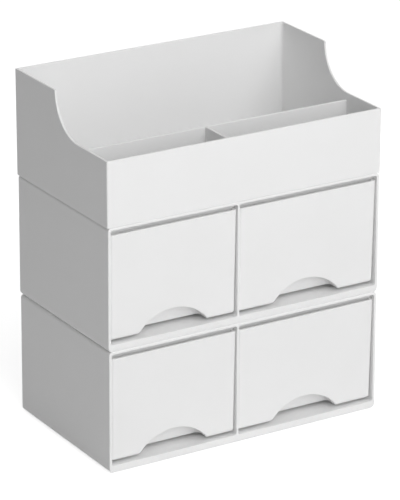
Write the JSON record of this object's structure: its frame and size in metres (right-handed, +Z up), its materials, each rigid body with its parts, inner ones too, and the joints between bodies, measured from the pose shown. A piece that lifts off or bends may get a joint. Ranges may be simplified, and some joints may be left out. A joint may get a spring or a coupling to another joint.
{
  "type": "desk organizer",
  "caption": "Stackable white desk organizer: an open divided tray with a high back on drawer cases whose sliding drawers have arc finger scoops.",
  "frame": {"origin": "under the middle of the object, on the surface it stands on", "axes": "+Z up, -Y the side that the drawers open to, +X to the right seen from the front"},
  "size_m": [0.25, 0.145, 0.2931],
  "materials": {
    "case_plastic": "satin moulded, fine grain",
    "drawer_plastic": "satin moulded, fine grain",
    "tray_plastic": "satin moulded, fine grain",
    "pad_rubber": "soft, matt"
  },
  "bodies": {
    "lower_case": {"lower_case": "case_plastic", "front_left_pad": "pad_rubber", "front_right_pad": "pad_rubber", "rear_left_pad": "pad_rubber", "rear_right_pad": "pad_rubber"},
    "upper_case": {"upper_case": "case_plastic"},
    "top_tray": {"top_tray": "tray_plastic"},
    "lower_left_drawer": {"lower_left_drawer": "drawer_plastic"},
    "lower_right_drawer": {"lower_right_drawer": "drawer_plastic"},
    "upper_left_drawer": {"upper_left_drawer": "drawer_plastic"},
    "upper_right_drawer": {"upper_right_drawer": "drawer_plastic"}
  },
  "joints": [
    {"name": "lower_left_drawer_slide", "type": "slide", "parent": "lower_case", "child": "lower_left_drawer", "axis": [0, -1, 0], "range_m": [0, 0.1085]},
    {"name": "lower_right_drawer_slide", "type": "slide", "parent": "lower_case", "child": "lower_right_drawer", "axis": [0, -1, 0], "range_m": [0, 0.1085]},
    {"name": "upper_left_drawer_slide", "type": "slide", "parent": "upper_case", "child": "upper_left_drawer", "axis": [0, -1, 0], "range_m": [0, 0.1085]},
    {"name": "upper_right_drawer_slide", "type": "slide", "parent": "upper_case", "child": "upper_right_drawer", "axis": [0, -1, 0], "range_m": [0, 0.1085]},
    {"name": "upper_case_lift", "type": "slide", "parent": "lower_case", "child": "upper_case", "axis": [0, 0, 1], "range_m": [0, 0.06]},
    {"name": "top_tray_lift", "type": "slide", "parent": "upper_case", "child": "top_tray", "axis": [0, 0, 1], "range_m": [0, 0.06]}
  ]
}
